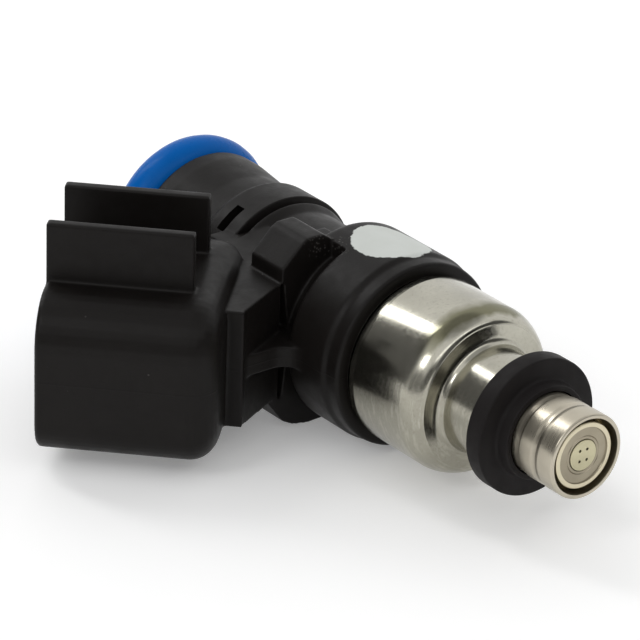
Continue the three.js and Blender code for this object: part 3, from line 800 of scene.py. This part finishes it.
place(housing(), NYLON, "black_nylon", ["housing_overmold"], 80)
place(metal_can(), CAN_STEEL, "stainless", ["metal_can"])
place(nozzle_sleeve(), SLEEVE_STEEL, "stainless", ["nozzle_sleeve"])
place(valve_seat(), SEAT_STEEL, "seat_steel", ["valve_seat"])
place(orifice_plate(), PLATE_STEEL, "plate_steel", ["orifice_plate"])
place(inlet_tube(), STAINLESS, "stainless", ["inlet_tube"])
place(o_ring(), BLUE_RUBBER, "blue_rubber", ["upper_o_ring"], 80)
place(lower_seal(), BLACK_RUBBER, "black_rubber", ["lower_seal"], 40)
place(filter_frame(), NATURAL_NYLON, "natural_nylon", ["filter_frame"])

# For each pin: x of the coil post, y and x of the bends, reach where it turns to its contact, place across.
PIN_ROUTES = ((-5.3, 28.1, -11.6, 16.7, 2.5), (-4.1, 29.6, -8.2, 15.2, -2.5))
POST_Y = 22.75
PIN_TIP = 25.6
for i, (post_x, bend_y, bend_x, leaves, side) in enumerate(PIN_ROUTES):
    route = [
        (post_x, POST_Y), (post_x, bend_y), (bend_x, bend_y),
        from_connector(leaves, side)[:2], from_connector(PIN_TIP, side)[:2],
    ]
    place(terminal_pin(route), TIN, "tin_plate", [f"terminal_pin_{i + 1}"])

# CAD pieces that are shown as they are, with a material.
CARRIED = {
    "ball_guide": SEAT_STEEL, "valve_ball": BALL_STEEL, "needle_tube": STAINLESS, "armature": IRON,
    "barrier_ring": STAINLESS, "pole_core": IRON, "adjusting_sleeve": TIN, "return_spring": SPRING_STEEL,
    "coil_bobbin": NATURAL_NYLON, "coil_winding": COPPER, "flux_washer": IRON, "filter_screen": FILTER_MESH,
}
for node, material in CARRIED.items():
    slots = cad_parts[node].data.materials
    slots.clear()
    slots.append(material)

# ---------- floor, light and camera ----------

floor_material = Shader("floor", Roughness=0.9, Emission_Color=(1, 1, 1, 1), Emission_Strength=0.22)
paper = floor_material.mix(floor_material.noise(30, 2), (0.92, 0.92, 0.92, 1), (0.95, 0.95, 0.95, 1))
floor_material.set("Base Color", paper)
bm = bmesh.new()
bmesh.ops.create_grid(bm, x_segments=1, y_segments=1, size=2.0)
floor = new_object("floor", bm)
floor.location = (0, 0.02, cad_box[0].z)
floor.data.materials.append(floor_material.material)


def area_light(name, place_at, target, size, power):
    data = bpy.data.lights.new(name, "AREA")
    data.shape = "RECTANGLE"
    data.size, data.size_y = size
    data.energy = power
    lamp = bpy.data.objects.new(name, data)
    bpy.context.scene.collection.objects.link(lamp)
    lamp.location = place_at
    lamp.rotation_mode = "QUATERNION"
    lamp.rotation_quaternion = (Vector(target) - Vector(place_at)).to_track_quat("-Z", "Y")


CENTRE = (-0.005, 0.02, 0.0)
area_light("front", (0.03, -0.4, 0.42), CENTRE, (0.9, 0.08), 0.3)
area_light("side", (-0.4, -0.03, 0.31), CENTRE, (0.13, 0.13), 0.28)
area_light("streak", (-0.1, 0.34, 0.31), CENTRE, (0.08, 0.3), 0.38)

# A pale room. Its dim patches give the metal its dark reflections: a direction, the cosines from it at which
# the patch starts and is at its full depth, and the share of the light that is left there.
DIM_PATCHES = (
    ((0.15, -0.05, 1.0), 0.83, 0.94, 0.5),
    ((-0.62, 0.66, 0.36), 0.76, 0.93, 0.16),
    ((-0.98, -0.12, 0.12), 0.9, 0.97, 0.3),
    ((0.56, -0.74, 0.33), 0.88, 0.96, 0.1),
    ((0.05, -0.95, 0.3), 0.88, 0.96, 0.15),
    ((-0.62, -0.7, 0.14), 0.88, 0.97, 0.15),
)
world = bpy.data.worlds.new("studio")
world.use_nodes = True
room = Nodes(world.node_tree, "Generated")
background = world.node_tree.nodes["Background"]
background.inputs["Color"].default_value = (1, 1, 1, 1)
room_light = 0.98
for direction, edge, core, left in DIM_PATCHES:
    dimming = room.span(room.towards(direction, edge, core), 0, 1, 1, left)
    room_light = room.math("MULTIPLY", dimming, room_light)
room.feed(background.inputs["Strength"], room_light)
bpy.context.scene.world = world
bpy.context.scene.view_settings.view_transform = "Standard"

camera_data = bpy.data.cameras.new("camera")
camera_data.lens = 225
camera_data.sensor_width = 36
camera_data.clip_start = 0.01
camera_data.clip_end = 10
camera = bpy.data.objects.new("camera", camera_data)
bpy.context.scene.collection.objects.link(camera)
camera_place = (-0.17339, -0.18925, 0.13379)
right = Vector((0.795, -0.606, 0.031)).normalized()
back = Vector((-0.556, -0.708, 0.435))
back = (back - right * back.dot(right)).normalized()
up = back.cross(right)
camera.matrix_world = Matrix.Translation(camera_place) @ Matrix((right, up, back)).transposed().to_4x4()
bpy.context.scene.camera = camera

bpy.context.view_layer.update()
